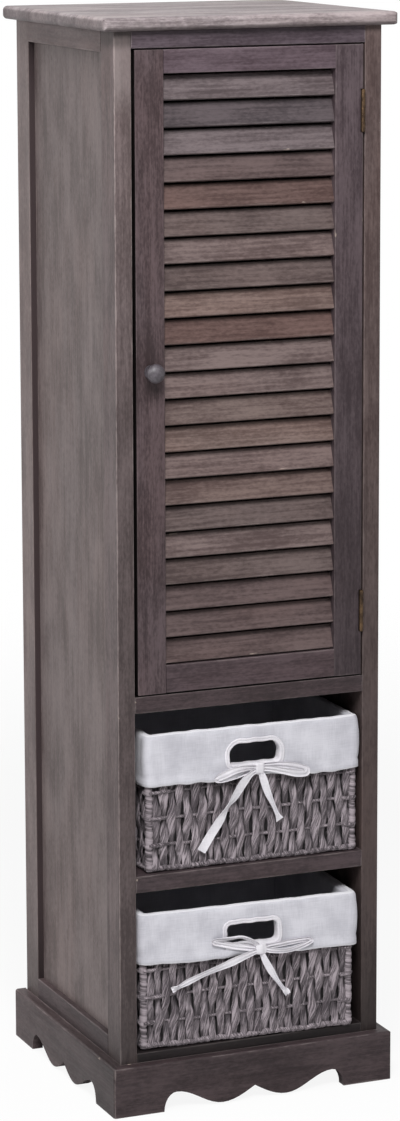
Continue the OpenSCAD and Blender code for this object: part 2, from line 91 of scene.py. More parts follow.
class Tree:
    """Adds nodes to a shader tree. An input is a plain value or another node's output."""

    def __init__(self, tree):
        self.tree = tree

    def add(self, kind, inputs=(), out=0, **settings):
        node = self.tree.nodes.new("ShaderNode" + kind)
        for name, value in settings.items():
            setattr(node, name, value)
        for name, value in dict(inputs).items():
            if isinstance(value, bpy.types.NodeSocket):
                self.tree.links.new(value, node.inputs[name])
            else:
                node.inputs[name].default_value = value
        return node.outputs[out] if node.outputs else node

    def math(self, operation, *values):
        return self.add("Math", enumerate(values), operation=operation)

    def times(self, first, second):
        return self.math("MULTIPLY", first, second)

    def vary(self, value, noise, gain, middle=0.5):
        """The value plus the gain times how far the noise is from its middle."""
        return self.math("MULTIPLY_ADD", self.math("SUBTRACT", noise, middle), gain, value)

    def vector(self, operation, *values, out=0):
        return self.add("VectorMath", enumerate(values), out=out, operation=operation)

    def parts(self, vector):
        separate = self.add("SeparateXYZ", {0: vector}).node
        return [separate.outputs[i] for i in range(3)]

    def place(self):
        return self.add("TexCoord", out="Object")

    def attribute(self, name):
        return self.parts(self.add("Attribute", out="Vector", attribute_name=name))

    def join(self, *values):
        return self.add("CombineXYZ", enumerate(values))

    def noise(self, place, scale, detail=3.0, roughness=0.55):
        """Noise from 0 to 1, with scale features to the metre on each axis."""
        stretched = self.vector("MULTIPLY", place, scale)
        return self.add("TexNoise", {"Vector": stretched, "Scale": 1.0, "Detail": detail, "Roughness": roughness})

    def step(self, value, low, high, to_low=0.0, to_high=1.0):
        limits = {"Value": value, "From Min": low, "From Max": high, "To Min": to_low, "To Max": to_high}
        return self.add("MapRange", limits, interpolation_type="SMOOTHSTEP")

    def mix(self, share, first, second, blend="MIX"):
        return self.add("Mix", {0: share, 6: first, 7: second}, out=2, data_type="RGBA", blend_type=blend)

    def surface(self, colour, roughness, height=None, bump=0.5, depth=0.4 * MM, **fixed):
        """Ends the tree in one surface with an optional bump; fixed holds plain values of other sockets."""
        inputs = {"Base Color": colour, "Roughness": roughness}
        if height is not None:
            inputs["Normal"] = self.add("Bump", {"Strength": bump, "Distance": depth, "Height": height})
        inputs.update({name.replace("_", " "): value for name, value in fixed.items()})
        shader = self.add("BsdfPrincipled", inputs)
        self.add("OutputMaterial", {"Surface": shader})


def new_material(name):
    material = bpy.data.materials.new(name)
    material.use_nodes = True
    material.node_tree.nodes.clear()
    return material, Tree(material.node_tree)


# ---- Stained wood ----

WOOD_INPUTS = {"Place": "Vector", "Half": "Vector", "Seed": "Float", "Dark": "Color", "Light": "Color",
               "Warmth": "Float", "Wear": "Float", "Figure": "Float"}
WOOD_OUTPUTS = {"Colour": "Color", "Roughness": "Float", "Height": "Float"}
WARM_TINT = (1.13, 0.95, 0.88, 1.0)
RUBBED = srgb(103, 97, 95)  # what rubbing adds to a stain
BARE_WOOD = srgb(188, 172, 160)
RING_STEP = 6.0 * MM


def stained_wood_group():
    """Stained wood with its grain along X: rings, fibres, pores, uneven stain and rubbed edges."""
    group = bpy.data.node_groups.new("stained_wood", "ShaderNodeTree")
    for direction, sockets in (("INPUT", WOOD_INPUTS), ("OUTPUT", WOOD_OUTPUTS)):
        for name, kind in sockets.items():
            group.interface.new_socket(name=name, in_out=direction, socket_type="NodeSocket" + kind)
    given = group.nodes.new("NodeGroupInput").outputs
    tree = Tree(group)
    seed = given["Seed"]
    place = tree.vector("ADD", given["Place"], tree.join(seed, tree.times(seed, 0.37), seed))

    # rings round a pith that lies outside the board
    wander = tree.noise(place, (5, 16, 16), 2.0)
    _, across, through = tree.parts(given["Place"])
    pith = tree.times(tree.math("SINE", tree.times(seed, 9.0)), 0.02)
    radius = tree.vector("LENGTH", tree.join(0.0, tree.math("ADD", across, pith),
                                             tree.math("ADD", through, 0.045)), out=1)
    turns = tree.math("MULTIPLY_ADD", wander, 16.0, tree.times(radius, 2 * math.pi / RING_STEP))
    ring = tree.math("MULTIPLY_ADD", tree.math("SINE", turns), 0.5, 0.5)

    fibre = tree.noise(place, (22, 620, 620), 4.0, 0.62)
    streak = tree.noise(place, (8, 130, 130), 3.0, 0.6)
    patch = tree.noise(place, (11, 26, 26), 4.0, 0.62)
    scuff = tree.noise(place, (170, 420, 420), 3.0, 0.6)
    tone = 0.5
    for noise, gain in ((fibre, 0.9), (streak, 0.9), (patch, 1.5), (scuff, 1.0), (ring, given["Figure"])):
        tone = tree.vary(tone, noise, gain)
    colour = tree.mix(tree.step(tone, 0.05, 0.95), given["Dark"], given["Light"])

    warm = tree.noise(tree.vector("ADD", place, (3.0, 1.0, 2.0)), (4, 13, 13), 2.0)
    warm = tree.times(tree.step(warm, 0.42, 0.66), given["Warmth"])
    colour = tree.mix(warm, colour, tree.mix(1.0, colour, WARM_TINT, "MULTIPLY"))
    pores = tree.step(tree.noise(place, (60, 1400, 1400), 2.0), 0.6, 0.74)
    colour = tree.mix(tree.times(pores, 0.45), colour, given["Dark"])

    # how far a point lies from the nearest edge of the board: the middle one of its three distances
    x, y, z = tree.parts(tree.vector("SUBTRACT", given["Half"], tree.vector("ABSOLUTE", given["Place"])))
    nearer = tree.math("MINIMUM", tree.math("MAXIMUM", x, y), z)
    edge = tree.math("MAXIMUM", tree.math("MINIMUM", x, y), nearer)
    rub = tree.noise(place, (35, 90, 90), 4.0, 0.65)
    reach = tree.math("MULTIPLY_ADD", tree.step(rub, 0.35, 0.8), 1.7 * MM, 0.5 * MM)
    share = tree.step(tree.math("DIVIDE", edge, reach), 1.3, 0.1)
    colour = tree.mix(tree.times(share, given["Wear"]), colour, RUBBED, "ADD")
    chip = tree.step(tree.noise(tree.vector("ADD", place, (7.0, 5.0, 1.0)), (28, 70, 70), 3.0), 0.7, 0.73)
    chip = tree.times(chip, tree.step(edge, 2.4 * MM, 1.2 * MM))
    colour = tree.mix(tree.times(chip, given["Wear"]), colour, BARE_WOOD)

    height = tree.math("MULTIPLY_ADD", fibre, 0.6, tree.times(ring, 0.12))
    height = tree.math("MULTIPLY_ADD", pores, -0.5, height)
    outputs = group.nodes.new("NodeGroupOutput").inputs
    group.links.new(colour, outputs["Colour"])
    group.links.new(tree.step(fibre, 0.3, 0.7, 0.44, 0.6), outputs["Roughness"])
    group.links.new(height, outputs["Height"])
    return group


WOOD_GROUP = stained_wood_group()
GRAIN_ORDER = {"X": (0, 1, 2), "Y": (1, 2, 0), "Z": (2, 0, 1)}

# Stains: dark and light tone as they show on a screen, warmth, wear of the edges, and how much darker a board gets
# along its grain, toward its foot or front, as painted shade where less light falls
# painted sheen: the top board's tones are set light to stand in for the light on its top face
TOP = ((112, 102, 104), (175, 164, 165), 0.15, 0.9, 0.0)
LEFT_FRAME = ((77, 66, 66), (114, 101, 101), 0.3, 1.3, 0.39)
RIGHT_FRAME = ((67, 54, 53), (102, 88, 86), 0.3, 0.4, 0.57)
SIDE = ((79, 69, 68), (117, 106, 105), 0.2, 0.4, 0.0)
REAR_POST = ((88, 77, 76), (124, 112, 111), 0.2, 0.4, 0.0)
LATCH_STILE = ((48, 37, 39), (89, 76, 79), 0.3, 0.15, 0.05)
HINGE_STILE = ((54, 43, 47), (90, 78, 82), 0.1, 0.4, 0.43)
DOOR_HEAD = ((64, 51, 57), (99, 85, 92), 0.1, 0.4, 0.0)
HEAD_RAIL = ((54, 44, 50), (88, 77, 84), 0.1, 0.5, 0.0)
RAIL = ((48, 38, 41), (80, 68, 72), 0.3, 0.5, 0.0)
SIDE_TOP_RAIL = ((78, 67, 67), (112, 100, 100), 0.3, 0.6, 0.0)
SIDE_LOW_RAIL = ((50, 41, 42), (82, 71, 73), 0.3, 0.5, 0.3)
SHELF_EDGE = ((42, 34, 36), (72, 61, 64), 0.3, 0.5, 0.0)
PLINTH = ((38, 29, 31), (68, 57, 59), 0.2, 0.8, 0.0)
PLINTH_SIDE = ((54, 43, 44), (87, 75, 76), 0.2, 0.8, 0.48)
# the bottom shelf's stain, darkened further as painted shadow under the lower basket
SHELF = ((18, 14, 15), (34, 28, 29), 0.3, 0.2, 0.0)
# dark stain of the inner boards, kept near black as painted shade inside the bays and cupboard
INSIDE = ((15, 12, 12), (28, 23, 23), 0.3, 0.0, 0.0)
SLAT = ((73, 59, 58), (115, 100, 98), 0.2, 0.5, 0.0)
ODD_SLATS = {
    (1, 2, 3, 19): ((59, 46, 46), (96, 81, 80), 0.2, 0.5, 0.0),
    (4, 6, 15, 17): ((63, 51, 50), (101, 88, 86), 0.2, 0.5, 0.0),
    (7, 10): ((70, 55, 53), (111, 96, 92), 0.25, 0.5, 0.0),
    (9, 14): ((80, 64, 60), (121, 104, 99), 0.25, 0.5, 0.0),
    (13, 18): ((65, 47, 44), (101, 81, 77), 0.2, 0.5, 0.0),
    (20, 22): ((70, 60, 62), (109, 98, 100), 0.1, 0.7, 0.0),
    (21,): ((49, 42, 45), (84, 75, 78), 0.1, 0.5, 0.0),
}
FIGURE = {"slat": 0.18, "board": 0.06}
RECESS_AND_EDGE_SHADE = srgb(56, 46, 47)  # painted shade where a rear post meets its panel, and on the top board's edges
GAP_SHADE = srgb(17, 13, 13)  # painted shade on the door's edge in the latch gap and on the floor behind the door
LIT_HEAD_COLOUR = srgb(158, 149, 147)  # painted light on the left front post's head
# From the first height to the second, in metres, a mark grows to the share given last
LIT_HEAD_SPAN = (1.045, 1.095, 0.32)  # painted light: the left front post's head is painted paler, most at its left
HEAD_SHADOW = (1.12, 1.132, 0.5)  # and a painted shadow darkens it under the top board
FOOT_DARKENING = (0.17, 0.06, 0.45)  # posts and panels are darker at the foot
TOP_EDGE_SHADES = (0.55, 0.6)  # how much painted shade the top board's edges take, at its sides and in front
LEFT_DEPTH = 0.16  # how much darker the left frame is on its outer faces
WOOD_SPECULAR = 0.25
SLAT_LEAN = math.radians(20)
SLAT_HALF = Vector((0.0, 2.5 * MM, 13.0 * MM))


def solid_box(node, right_only=False):
    """Lowest and highest corner of a node, or of its right-hand solid alone."""
    points = [v.co for v in nodes[node].data.vertices if not right_only or v.co.x > 0]
    low = Vector(min(p[i] for p in points) for i in range(3))
    high = Vector(max(p[i] for p in points) for i in range(3))
    return low, high


def paint(node, material):
    """Gives a CAD node one material."""
    slots = nodes[node].data.materials
    slots.clear()
    slots.append(material)


def stain_and_shade(node, grain, finish, seed, mirrored=False, lean=0.0):
    """Stains one board, with the grain and the rubbed edges set by the board's own box, and paints shade and light onto
    some boards.
    """
    low, high = solid_box(node, mirrored)
    centre, half = (low + high) / 2, (high - low) / 2
    if lean:
        half = Vector((half.x, SLAT_HALF.y, SLAT_HALF.z))
    material, tree = new_material("wood_" + node)
    place = tree.place()
    if mirrored:
        x, y, z = tree.parts(place)
        place = tree.join(tree.math("ABSOLUTE", x), y, z)
    place = tree.vector("SUBTRACT", place, tuple(centre))
    if lean:
        place = tree.add("VectorRotate", {"Vector": place, "Angle": lean}, rotation_type="X_AXIS")
    parts = tree.parts(place)
    order = GRAIN_ORDER[grain]
    dark, light, warmth, wear, shade_fall = finish
    group = tree.add("Group", {
        "Place": tree.join(*(parts[i] for i in order)), "Half": tuple(half[i] for i in order), "Seed": seed,
        "Dark": srgb(*dark), "Light": srgb(*light), "Warmth": warmth, "Wear": wear,
        "Figure": FIGURE["slat" if lean else "board"],
    }, node_tree=WOOD_GROUP).node

    def between(start, end, most):
        return tree.step(parts[2], start - centre.z, end - centre.z, 0.0, most)

    def turned(axis, most=1.0):
        return tree.step(faces[axis], -0.5, -0.9, 0.0, most)

    colour = group.outputs["Colour"]
    faces = tree.parts(tree.add("NewGeometry", out="True Normal"))
    front = turned(1)
    # painted shade in the recess, on the rear post's front face
    if finish is REAR_POST:
        colour = tree.mix(front, colour, RECESS_AND_EDGE_SHADE)
    # painted shade in the gap beside the latch stile
    if finish is LATCH_STILE:
        colour = tree.mix(tree.step(faces[0], -0.7, -0.95), colour, GAP_SHADE)
    # painted shade on the cupboard floor behind the door
    if node == "cupboard_floor":
        colour = tree.mix(tree.step(faces[2], 0.7, 0.95), colour, GAP_SHADE)
    # painted shade on the top board's edges, which face away from the light above it
    if finish is TOP:
        side_shade = tree.step(faces[2], 0.7, 0.2, 0.0, TOP_EDGE_SHADES[0])
        front_shade = tree.step(faces[2], 0.3, -0.6, 0.0, TOP_EDGE_SHADES[1])
        deep = tree.math("MULTIPLY_ADD", front, tree.math("SUBTRACT", front_shade, side_shade), side_shade)
        colour = tree.mix(deep, colour, RECESS_AND_EDGE_SHADE)
    # painted shade: darker toward a board's foot or front, where less light falls
    if shade_fall:
        run, reach = parts[order[0]], half[order[0]]
        share = tree.step(run, reach, -reach, 0.0, shade_fall)
        if finish is LEFT_FRAME:
            share = tree.times(tree.step(run, 0.9 * reach, -0.2 * reach, 0.0, shade_fall), front)
            share = tree.math("MAXIMUM", share, turned(0, LEFT_DEPTH))
        colour = tree.mix(share, colour, BLACK)
    # painted light on the left front post's head, and a painted shadow under the top board
    if finish is LEFT_FRAME:
        lit_head_share = tree.times(between(*LIT_HEAD_SPAN), tree.step(parts[0], 0.4 * half.x, -0.7 * half.x, 0.5, 1.0))
        colour = tree.mix(tree.times(lit_head_share, front), colour, LIT_HEAD_COLOUR)
        colour = tree.mix(between(*HEAD_SHADOW), colour, BLACK)
    if grain == "Z" and low.z < FOOT_DARKENING[1]:
        colour = tree.mix(between(*FOOT_DARKENING), colour, BLACK)
    tree.surface(colour, group.outputs["Roughness"], group.outputs["Height"], Specular_IOR_Level=WOOD_SPECULAR)
    paint(node, material)


BOARDS = {
    "top_board": ("X", TOP), "front_top_rail": ("X", HEAD_RAIL),
    "left_panel": ("Z", SIDE), "right_panel": ("Z", SIDE),
    "left_front_post": ("Z", LEFT_FRAME), "left_rear_post": ("Z", REAR_POST),
    "right_front_post": ("Z", RIGHT_FRAME), "right_rear_post": ("Z", REAR_POST),
    "back_panel": ("Z", INSIDE), "cupboard_floor": ("X", SHELF_EDGE), "basket_shelf": ("X", SHELF_EDGE),
    "bottom_shelf": ("X", SHELF), "inner_shelves": ("X", INSIDE), "shelf_cleats": ("Y", INSIDE),
    "front_plinth": ("X", PLINTH), "left_plinth": ("Y", PLINTH_SIDE), "right_plinth": ("Y", PLINTH_SIDE),
    "door_hinge_stile": ("Z", HINGE_STILE), "door_latch_stile": ("Z", LATCH_STILE),
    "door_top_rail": ("X", DOOR_HEAD), "door_low_rail": ("X", RAIL),
}
SIDE_RAILS = {"side_top_rails": SIDE_TOP_RAIL, "side_low_rails": SIDE_LOW_RAIL}


def stain_and_shade_boards():
    for number, (node, (grain, finish)) in enumerate(BOARDS.items()):
        stain_and_shade(node, grain, finish, 1.0 + 0.71 * number)
    for number, (node, finish) in enumerate(SIDE_RAILS.items()):
        stain_and_shade(node, "Y", finish, 31.0 + number, mirrored=True)
    slats = sorted(n for n in nodes if n.startswith("slat_"))
    odd = {number: finish for numbers, finish in ODD_SLATS.items() for number in numbers}
    for number, node in enumerate(slats, start=1):
        stain_and_shade(node, "X", odd.get(number, SLAT), 50.0 + 1.37 * number, lean=SLAT_LEAN)


# ---- Metal and paint ----


def metal(name, dark, light, roughness):
    """Metal with blotches of tarnish."""
    material, tree = new_material(name)
    place = tree.place()
    tarnish = tree.step(tree.noise(place, (160, 160, 90), 4.0, 0.6), 0.35, 0.65)
    colour = tree.mix(tarnish, dark, light)
    rough = tree.math("MULTIPLY_ADD", tarnish, -0.12, roughness)
    tree.surface(colour, rough, tarnish, bump=0.2, depth=0.1 * MM, Metallic=0.9)
    return material


def knob_paint():
    """Turned wood under thin dark paint that is worn in small and broad patches."""
    material, tree = new_material("knob_paint")
    place = tree.place()
    mottle = tree.noise(place, (420, 420, 420), 4.0, 0.6)
    broad = tree.noise(place, (110, 110, 110), 2.0)
    tone = tree.vary(mottle, broad, 1.2)
    colour = tree.mix(tree.step(tone, 0.2, 0.85), srgb(55, 50, 55), srgb(87, 81, 87))
    tree.surface(colour, tree.step(mottle, 0.3, 0.7, 0.38, 0.55), mottle, bump=0.35, depth=0.3 * MM)
    return material


def finish_hardware():
    brass = metal("aged_brass", srgb(52, 41, 33), srgb(98, 78, 58), 0.55)
    for node in ("hinge_leaves_frame", "hinge_leaves_door", "hinge_pins", "hinge_screws_frame", "hinge_screws_door"):
        paint(node, brass)
    steel = metal("zinc_plate", srgb(120, 120, 122), srgb(178, 178, 180), 0.4)
    for node in ("magnet_catch", "strike_plate", "knob_screw"):
        paint(node, steel)
    paint("knob", knob_paint())


# ---- Mesh building ----


def mesh_piece(name, points, faces, material, basket, attributes):
    """A smooth mesh piece of a basket; attributes are vectors kept for its material."""
    mesh = bpy.data.meshes.new(name)
    mesh.from_pydata(basket.placed(points).tolist(), [], faces)
    mesh.polygons.foreach_set("use_smooth", [True] * len(mesh.polygons))
    for key, values in attributes.items():
        layer = mesh.attributes.new(key, "FLOAT_VECTOR", "POINT")
        layer.data.foreach_set("vector", np.asarray(values, np.float32).ravel())
    mesh.materials.append(material)
    mesh.update()
    piece = add_object(name, mesh)
    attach(piece, basket.body)
    return piece


class Bundle:
    """Collects tubes into one mesh."""

    def __init__(self):
        self.points, self.faces, self.marks, self.count = [], [], [], 0

    def tube(self, rings, marks, closed=False):
        """rings is an array of rings by points by 3. The ends are capped, or joined if closed."""
        total, around = rings.shape[:2]
        index = self.count + np.arange(total * around).reshape(total, around)
        after = np.roll(index, -1, axis=1)
        upto = total if closed else total - 1
        below = np.roll(index, -1, axis=0)[:upto]
        below_after = np.roll(after, -1, axis=0)[:upto]
        quads = np.stack([index[:upto], after[:upto], below_after, below], axis=-1).reshape(-1, 4)
        self.faces.extend(quads.tolist())
        if not closed:
            self.faces.append(index[0][::-1].tolist())
            self.faces.append(index[-1].tolist())
        self.points.append(rings.reshape(-1, 3))
        self.marks.append(marks.reshape(-1, 3))
        self.count += total * around

    def piece(self, name, material, basket, slot):
        """Makes the mesh; sunk is how far behind the basket's outer faces a point lies, which the rope's material turns
        into painted shade.
        """
        points, marks = np.concatenate(self.points), np.concatenate(self.marks)
        x, y = points[:, 0], points[:, 1]
        sunk = np.minimum(basket.width / 2 - np.abs(x), np.minimum(y, basket.depth - y))
        marks = {"strand": marks, "sunk": columns(sunk, 0.0, 0.0)}
        return mesh_piece(name, points, self.faces, material, basket, marks)


def columns(*parts):
    """Parts that fit each other's shape, put side by side as the last axis of one array."""
    return np.stack(np.broadcast_arrays(*parts), axis=-1)


def unit(vectors):
    return vectors / np.maximum(np.linalg.norm(vectors, axis=-1, keepdims=True), 1e-12)


# ---- Baskets ----

BASKET_TURNS = {"upper": -0.5, "lower": -2.5}  # degrees, seen from above
BASKET_BODIES = {"upper": "basket_up", "lower": "basket_low"}
BASKET_SEEDS = {"upper": 3, "lower": 8}
# each hand hole's middle, foot and the radius of its top corners
HAND_HOLES = {"upper": (1.5 * MM, 108.5 * MM, 11.0 * MM), "lower": (4.5 * MM, 105.5 * MM, 6.0 * MM)}
HOLE_W = 58.0 * MM
HOLE_H = 23.0 * MM


class Basket:
    """A basket's own axes: X from the middle of its front to the right, Y to the back, Z up from its foot."""

    def __init__(self, name):
        self.name, self.body, self.node = name, BASKET_BODIES[name], name + "_basket"
        spin = Matrix.Rotation(math.radians(BASKET_TURNS[name]), 4, "Z")
        points = np.array([spin.inverted() @ v.co for v in nodes[self.node].data.vertices])
        low, high = points.min(axis=0), points.max(axis=0)
        self.width, self.depth, self.height = high - low
        self.axes = np.array(spin.to_3x3())
        self.foot = self.axes @ np.array([(low[0] + high[0]) / 2, low[1], low[2]])
        self.hole_x, self.hole_z, self.hole_r = HAND_HOLES[name]

    def placed(self, points):
        return np.asarray(points, float).reshape(-1, 3) @ self.axes.T + self.foot

    def wall(self, side):
        """A wall's length, its outward direction, and what places a distance along it, outwards and up."""
        half, depth = self.width / 2, self.depth
        length, place = {
            "front": (self.width, lambda along, out: (along - half, -out)),
            "right": (depth, lambda along, out: (half + out, along)),
            "back": (self.width, lambda along, out: (half - along, depth + out)),
            "left": (depth, lambda along, out: (-half - out, depth - along)),
        }[side]

        def at(along, out, up):
            return columns(*place(along, out), up)

        return length, at(0.0, 1.0, 0.0) - at(0.0, 0.0, 0.0), at

    def runs(self, side, length, level, clear, spare):
        """Start and end of what runs along a wall at a level: two runs where the hand hole comes between."""
        ends = [CORNER_IN, length - CORNER_IN]
        if side == "front" and abs(level - self.hole_z - HOLE_H / 2) < HOLE_H / 2 + clear:
            middle, reach = length / 2 + self.hole_x, HOLE_W / 2 + spare
            return [(ends[0], middle - reach), (middle + reach, ends[1])]
        return [ends]


SIDES = ("front", "right", "back", "left")
UP = (0, 0, 1)
ROPE_SHADE = srgb(44, 38, 42)  # painted shade in creases and behind the outer strands
# painted shade for the inner bands behind the weave
BAND_SHADE = srgb(26, 22, 24)


def paper_rope():
    """Twisted grey paper rope with creases that wind round it, with painted shade in its creases and behind the outer
    strands; darker where its seed is over 1.2, wholly painted shade for the inner bands.
    """
    material, tree = new_material("paper_rope")
    along, around, seed = tree.attribute("strand")
    wound = tree.math("MULTIPLY_ADD", along, 0.3, around)
    offset = tree.times(seed, 31.0)
    lane = tree.join(tree.times(along, 34.0), tree.times(wound, 560.0), offset)
    fold = tree.noise(lane, (1, 1, 1), 3.0, 0.6)
    fine = tree.noise(lane, (2.2, 2.6, 1), 2.0, 0.6)
    slit = tree.step(tree.math("ABSOLUTE", tree.math("SUBTRACT", fold, 0.47)), 0.0, 0.05)
    broad = tree.noise(tree.join(tree.times(along, 30.0), tree.times(seed, 57.0), offset), (1, 1, 1), 2.0)
    tone = tree.vary(tree.vary(fold, broad, 1.0), fine, 1.2)
    colour = tree.mix(tree.step(tone, 0.2, 0.8), srgb(78, 70, 75), srgb(172, 161, 167))
    # painted shade in the rope's creases
    colour = tree.mix(tree.math("MULTIPLY_ADD", slit, -0.7, 0.7), colour, ROPE_SHADE)
    # painted shade deep in the weave, behind the outer strands
    sunk = tree.attribute("sunk")[0]
    colour = tree.mix(tree.step(sunk, 2.1 * MM, 4.4 * MM, 0.0, 0.75), colour, ROPE_SHADE)
    # the inner bands take it wholly as painted shade; the corner posts are a little darker
    colour = tree.mix(tree.step(seed, 1.2, 1.6), colour, BAND_SHADE)
    height = tree.math("MULTIPLY_ADD", slit, 0.35, fold)
    tree.surface(colour, 0.85, height, bump=1.0, depth=1.1 * MM)
    return material


ROPE = paper_rope()
STRAND_STEP = 8.8 * MM
STAKE_STEP = 29.0 * MM
WALL_MIDDLE = 3.5 * MM  # from the outer face of a wall to the line of its stakes
STRAND_SWING = 1.5 * MM
STRAND_THICK = 1.4 * MM  # half the thickness of a strand
BELLY = 4.9 * MM  # half the width of a strand where it lies in front
WAIST = 4.0 * MM  # and where it changes over and lies behind
CORNER_R = 4.3 * MM
CORNER_IN = 4.5 * MM
BORDER_R = 3.4 * MM
# Cords: radius, length of one turn of the winding, depth of the groove between turns, and sides
STAKE = (1.9 * MM, 9 * MM, 0.2, 10)
POST = (CORNER_R, 7.5 * MM, 0.24, 16)
BORDER = (BORDER_R, STRAND_STEP, 0.45, 14)
TIE = (2.1 * MM, 8 * MM, 0.25, 10)
TIE_REACH = {1: (14, 26), -1: (9, 14)}  # mm, of those that run right and left as seen from outside
TIES_BELOW = 50.0 * MM  # down from the rim, where the cuff ends
BAND_H = 11.0 * MM
BAND_OUT = -6.4 * MM
POST_SEED = 1.28  # slightly dark rope
BAND_SEED = 2.0  # wholly painted shade


def strand_rings(at, middle, bottom, top, odd, draw, sides=16, step=2.8 * MM):
    """One flat twisted strand that runs up a wall, in front of every second stake and behind the rest."""
    count = max(4, int((top - bottom) / step) + 1)
    up = np.linspace(bottom, top, count)[:, None]
    angle = np.linspace(0, 2 * math.pi, sides, endpoint=False)[None, :]
    phase = [draw.uniform(0, 2 * math.pi) for _ in range(7)]

    def wave(length, number, lobes=0.0):
        return np.sin(lobes + up / (length * MM) * 2 * math.pi + phase[number])

    level = up + 3.0 * MM * wave(47, 4)
    swing = np.cos(math.pi * level / STAKE_STEP + (math.pi if odd else 0.0))
    depth = np.sign(swing) * np.abs(swing) ** 0.7
    width = WAIST + (BELLY - WAIST) * np.maximum(swing, 0) ** 1.3
    width = width * draw.uniform(0.86, 1.08) * (1 + 0.13 * wave(37, 0))
    shift = 0.8 * MM * wave(70, 1) + 0.5 * MM * wave(31, 5) + draw.uniform(-0.4, 0.4) * MM
    ridge = 1 + 0.13 * wave(34, 2, 3 * angle) + 0.1 * wave(26, 3, 5 * angle) + 0.05 * wave(-15, 6, 2 * angle)
    along = middle + shift + width * np.cos(angle) * ridge
    out = -WALL_MIDDLE + STRAND_SWING * depth + STRAND_THICK * np.sin(angle) * ridge
    return at(along, out, up), columns(up, angle * 4 * MM, draw.uniform(0, 1))


def round_tube(path, first, second, radius, turns=None, groove=0.0, sides=12, seed=0.0, level=False):
    """A tube along a path with two fixed directions across it; turns wind a groove round it, or level rings."""
    path = np.asarray(path, float)
    angle = np.linspace(0, 2 * math.pi, sides, endpoint=False)[None, :]
    run = np.concatenate([[0], np.cumsum(np.linalg.norm(np.diff(path, axis=0), axis=1))])[:, None]
    size = radius * np.ones_like(run + angle)
    if turns is not None:
        uneven = run + 0.16 * turns * np.sin(run / turns * 2.1 + seed * 9)
        wind = 0.3 * np.sin(angle + run / turns * 1.3) if level else angle / 2
        wave = np.abs(np.sin(math.pi * uneven / turns - wind))
        size = radius * (1 - groove * (1 - wave) ** 2.2) * (1 + 0.06 * np.sin(run / turns * 1.7 + seed * 20))
    rings = (path[:, None, :] + (size * np.cos(angle))[..., None] * np.asarray(first)
             + (size * np.sin(angle))[..., None] * np.asarray(second))
    return rings, columns(angle * 4 * MM, run, seed)


def stake_levels(height):
    return np.arange(STAKE_STEP, height - 2 * MM, STAKE_STEP)


def weave_wall(bundle, basket, side, draw):
    """Strands up one wall and the stakes that they pass."""
    length, across, at = basket.wall(side)
    margin = CORNER_IN + CORNER_R - 1 * MM
    count = round((length - 2 * margin) / STRAND_STEP)
    pitch = (length - 2 * margin) / count
    foot, top = 1.5 * MM, basket.height - 3 * MM
    hole_foot, hole_top = basket.hole_z - 2 * MM, basket.hole_z + HOLE_H + 2 * MM
    hole_middle = length / 2 + basket.hole_x
    for k in range(count):
        middle = margin + (k + 0.5) * pitch
        spans = [(foot, top)]
        if side == "front" and abs(middle - hole_middle) < HOLE_W / 2 + BELLY:
            spans = [(foot, hole_foot), (hole_top, top)]
        for bottom, upper in spans:
            bundle.tube(*strand_rings(at, middle, bottom, upper, k % 2 == 1, draw))
    for level in stake_levels(basket.height):
        for start, end in basket.runs(side, length, level, 4 * MM, 4 * MM):
            run = np.linspace(start, end, 40)
            path = at(run, -WALL_MIDDLE - 0.7 * MM, level + 0.5 * MM * np.sin(run * 60 + level * 900))
            bundle.tube(*round_tube(path, across, UP, *STAKE, draw.random()))


def back_wall(bundle, basket, side):
    """Flat bands of the same paper behind the strands, painted dark to stand in for the shade behind the weave."""
    length, across, at = basket.wall(side)
    for level in np.arange(BAND_H / 2 + 1 * MM, basket.height - BAND_H / 2, BAND_H - 0.5 * MM):
        for start, end in basket.runs(side, length, level, BAND_H / 2 + 1 * MM, 2 * MM):
            path = at(np.linspace(start, end, 12), BAND_OUT, level)
            bundle.tube(*round_tube(path, across * 0.1, UP, BAND_H / 2, seed=BAND_SEED))


def edge_basket(bundle, basket, draw):
    """Wrapped corner posts, ties from them into the weave, and a rolled edge round the foot."""
    half = basket.width / 2
    ups = np.linspace(1 * MM, basket.height - 2 * MM, 150)
    for x in (CORNER_IN - half, half - CORNER_IN):
        for y in (CORNER_IN, basket.depth - CORNER_IN):
            path = columns(x + 0.4 * MM * np.sin(ups * 190 + y), y, ups)
            rings, marks = round_tube(path, (1, 0, 0), (0, 1, 0), *POST, POST_SEED, True)
            bundle.tube(rings, marks * (0.2, 0.35, 1))
    for side in SIDES:
        length, across, at = basket.wall(side)
        run = np.linspace(CORNER_IN, length - CORNER_IN, 170)
        path = at(run, -WALL_MIDDLE + 0.2 * MM, BORDER_R + 0.5 * MM * np.sin(run * 95))
        bundle.tube(*round_tube(path, across, UP, *BORDER, draw.random()))
        for start in (CORNER_IN - 1 * MM, length - CORNER_IN + 1 * MM):
            way = 1 if start < length / 2 else -1
            for level in stake_levels(basket.height - TIES_BELOW):
                reach = draw.uniform(*TIE_REACH[way]) * MM
                run = np.linspace(start, start + way * reach, 9)
                way_in = np.linspace(0, 1, 9)
                out = -1.2 * MM + 0.8 * MM * np.sin(math.pi * way_in) - 1.6 * MM * way_in ** 3
                path = at(run, out, level + draw.uniform(-1, 1) * MM)
                bundle.tube(*round_tube(path, across, UP, *TIE, draw.random()))


